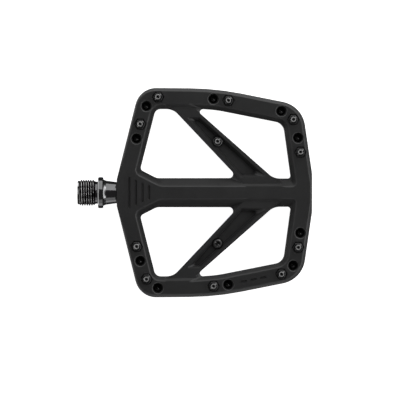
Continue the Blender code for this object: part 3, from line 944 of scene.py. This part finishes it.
def ring_rows(start, end, bore, outside, edge):
    """Ring with its outer edges chamfered."""
    return [
        (start, outside - edge), (start + edge, outside), (end - edge, outside), (end, outside - edge),
        (end, bore + edge), (end - edge, bore), (start + edge, bore), (start, bore + edge),
    ]


def add_turned_piece(name, rows, steps, closed, materials, slot, body, cad_node):
    """Piece turned about the spindle, in place of its CAD node."""
    form = bmesh.new()
    turned(form, rows, steps, "X", closed=closed)
    piece = add_object(name, mesh_from(name, form))
    finish_piece(piece, materials, slot, body, cad_node)


def radius_of(name):
    return (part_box(name)[1][2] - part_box(name)[0][2]) / 2


def make_plain_rings(materials):
    """Bushing, washer and the bearing's shields."""
    specs = [
        ("axle_bushing", 5.1 * MM, 0.2 * MM, "bushing_polymer", "platform_group"),
        ("thrust_washer", 3.3 * MM, 0.1 * MM, "zinc_steel", "axle_group"),
        ("bearing_shield_inboard", 4.5 * MM, 0.08 * MM, "seal_rubber", "platform_group"),
        ("bearing_shield_outboard", 4.5 * MM, 0.08 * MM, "seal_rubber", "platform_group"),
    ]
    for name, bore, edge, slot, body in specs:
        low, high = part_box(name)
        rows = ring_rows(low[0], high[0], bore, radius_of(name), edge)
        add_turned_piece(f"{name}_ring", rows, 64, True, materials, slot, body, name)


def make_seal(materials):
    """Lip seal: a ring whose lip leans towards the crank."""
    low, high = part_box("inboard_seal")
    outside = radius_of("inboard_seal")
    start = low[0]
    rows = [
        (start, outside - 0.15 * MM), (start + 0.15 * MM, outside), (high[0] - 0.15 * MM, outside),
        (high[0], outside - 0.15 * MM), (high[0], 5.7 * MM), (start + 1.2 * MM, 5.6 * MM),
        (start + 0.9 * MM, 5.2 * MM), (start + 0.3 * MM, 5.1 * MM), (start, 5.2 * MM),
        (start + 0.25 * MM, 5.5 * MM), (start + 0.25 * MM, 5.75 * MM),
    ]
    add_turned_piece("lip_seal", rows, 72, True, materials, "seal_rubber", "platform_group", "inboard_seal")


def race_rows(low_x, high_x, wall, land, groove):
    """Bearing ring with a round ball groove."""
    middle = (low_x + high_x) / 2
    edge = 0.15 * MM
    side = 1 if land > wall else -1
    rows = [
        (low_x, wall + side * edge), (low_x + edge, wall), (high_x - edge, wall),
        (high_x, wall + side * edge), (high_x, land),
    ]
    reach = 1.15 * MM
    steps = 8
    for i in range(steps + 1):
        turn = math.pi * i / steps
        rows.append((middle + reach * math.cos(turn), land - side * groove * math.sin(turn)))
    rows.append((low_x, land))
    return rows


def make_bearing(materials):
    """Races with ball grooves, and balls."""
    groove = 0.4 * MM
    ball_r = 0.85 * MM
    low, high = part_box("bearing_outer_race")
    outer = race_rows(low[0], high[0], radius_of("bearing_outer_race"), 5.6 * MM, groove)
    inner = race_rows(low[0], high[0], 3.3 * MM, 4.2 * MM, groove)
    add_turned_piece("outer_race", outer, 72, True, materials, "bearing_steel", "platform_group",
                     "bearing_outer_race")
    add_turned_piece("inner_race", inner, 72, True, materials, "bearing_steel", "axle_group",
                     "bearing_inner_race")
    ball_form = bmesh.new()
    bmesh.ops.create_icosphere(ball_form, subdivisions=4, radius=ball_r)
    ball_mesh = mesh_from("ball", ball_form)
    for name in sorted(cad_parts):
        if name.startswith("bearing_ball"):
            low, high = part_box(name)
            ball = add_object(name.replace("bearing_", ""), ball_mesh)
            ball.location = [(a + b) / 2 for a, b in zip(low, high)]
            bpy.context.view_layer.update()
            finish_piece(ball, materials, "bearing_steel", "ball_group", name)


def carry_over(materials):
    """The bearing's cage keeps its CAD mesh and gets its material."""
    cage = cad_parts["bearing_cage"]
    cage.data.materials.clear()
    cage.data.materials.append(materials["cage_nylon"])


def make_end_hardware(materials):
    """Locknut, and the plug with a key socket that closes the barrel."""
    low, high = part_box("axle_locknut")
    apothem = 4.5 * MM
    corner = apothem / math.cos(math.radians(30))
    bore = 3.15 * MM
    nut = [
        (low[0], hexagon(apothem, corner - 0.4 * MM)), (low[0] + 0.3 * MM, hexagon(apothem, corner)),
        (high[0] - 0.5 * MM, hexagon(apothem, corner)), (high[0], hexagon(apothem, corner - 0.6 * MM)),
        (high[0], 3.5 * MM), (high[0] - 0.3 * MM, bore), (low[0] + 0.3 * MM, bore), (low[0], 3.5 * MM),
    ]
    add_turned_piece("locknut", nut, 72, True, materials, "zinc_steel", "axle_group", "axle_locknut")
    low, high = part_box("end_cap")
    face = high[0]
    drive = hexagon(2.0 * MM)
    cap = [
        (face - 1.3 * MM, 5.8 * MM), (low[0] + 0.2 * MM, 5.8 * MM), (low[0], 5.95 * MM), (low[0], 6.1 * MM),
        (low[0] + 0.3 * MM, 6.4 * MM), (face - 0.35 * MM, 6.4 * MM), (face - 0.1 * MM, 6.3 * MM),
        (face, 6.05 * MM), (face, 5.2 * MM), (face - 0.25 * MM, 5.0 * MM), (face - 0.25 * MM, 3.1 * MM),
        (face - 0.05 * MM, 2.9 * MM), (face - 0.05 * MM, 2.5 * MM), (face - 0.15 * MM, drive),
        (face - 0.75 * MM, drive),
    ]
    add_turned_piece("barrel_end_cap", cap, 72, False, materials, "cap_plastic", "platform_group", "end_cap")


# ---------------------------------------------------------------- stage

def make_floor():
    """Pale floor that glows evenly, and that only the camera sees.

    It stays out of reflections, bounced light and shadows, so that polished steel mirrors a dark studio and
    the lights below its level reach the object.
    """
    floor_z = CAD_BOX[0][2]
    form = bmesh.new()
    corners = [(-1, -1), (1, -1), (1, 1), (-1, 1)]
    form.faces.new([form.verts.new((x * FLOOR_REACH, y * FLOOR_REACH, floor_z)) for x, y in corners])
    floor = add_object("floor", mesh_from("floor", form))
    made = bpy.data.materials.new("pale_floor")
    made.use_nodes = True
    shader = made.node_tree.nodes["Principled BSDF"]
    shader.inputs["Base Color"].default_value = (0.85, 0.85, 0.85, 1.0)
    shader.inputs["Roughness"].default_value = 0.8
    shader.inputs["Emission Color"].default_value = (1.0, 1.0, 1.0, 1.0)
    shader.inputs["Emission Strength"].default_value = 1.0
    floor.data.materials.append(made)
    floor.visible_glossy = False
    floor.visible_diffuse = False
    floor.visible_shadow = False


def add_light(name, direction, size, power):
    """Soft box that looks at the object from a direction, at a metre's distance.

    size is its width, level with the floor, and its height, in metres.
    """
    data = bpy.data.lights.new(name, "AREA")
    data.shape = "RECTANGLE"
    data.size, data.size_y = size
    data.energy = power
    light = add_object(name, data)
    place = Vector(direction).normalized()
    light.location = place
    light.rotation_euler = (-place).to_track_quat("-Z", "Y").to_euler()


def make_lights():
    """Large box from +Y, a wide strip from +X, a wide box low at -X, and weak ones; the zenith stays dark."""
    add_light("top_box", (0.05, 0.88, 0.46), (1.3, 1.5), 8.0)
    add_light("right_box", (0.77, 0.05, 0.64), (2.2, 0.36), 7.5)
    add_light("low_box", (0.1, -0.95, 0.4), (1.0, 0.5), 0.8)
    add_light("bounce", (0.0, -0.98, -0.15), (0.8, 0.5), 1.2)
    add_light("left_box", (-0.9, 0.1, 0.4), (0.6, 0.4), 0.6)
    add_light("left_low", (-0.9, 0.05, -0.35), (2.0, 0.9), 12.0)
    add_light("left_top", (-0.45, 0.15, 0.85), (0.4, 0.4), 0.35)
    world = bpy.data.worlds.new("studio")
    world.use_nodes = True
    background = world.node_tree.nodes["Background"]
    background.inputs["Color"].default_value = (1.0, 1.0, 1.0, 1.0)
    background.inputs["Strength"].default_value = 0.07
    bpy.context.scene.world = world


def make_camera():
    """Straight above the tread face, far away, so that the view is nearly parallel."""
    data = bpy.data.cameras.new("camera")
    data.sensor_width = 36.0
    data.lens = data.sensor_width * CAMERA_DISTANCE / VIEW_WIDTH
    data.clip_end = 20.0
    camera = add_object("camera", data)
    camera.location = (*VIEW_CENTER, HALF_HEIGHT + CAMERA_DISTANCE)
    camera.rotation_euler = (0.0, 0.0, 0.0)
    bpy.context.scene.camera = camera


def main():
    materials = make_materials()
    make_camera()
    make_lights()
    make_floor()
    make_platform(materials)
    make_pins(materials)
    make_axle(materials)
    make_plain_rings(materials)
    make_seal(materials)
    make_bearing(materials)
    make_end_hardware(materials)
    carry_over(materials)
    bpy.context.scene.view_settings.view_transform = "Standard"


main()
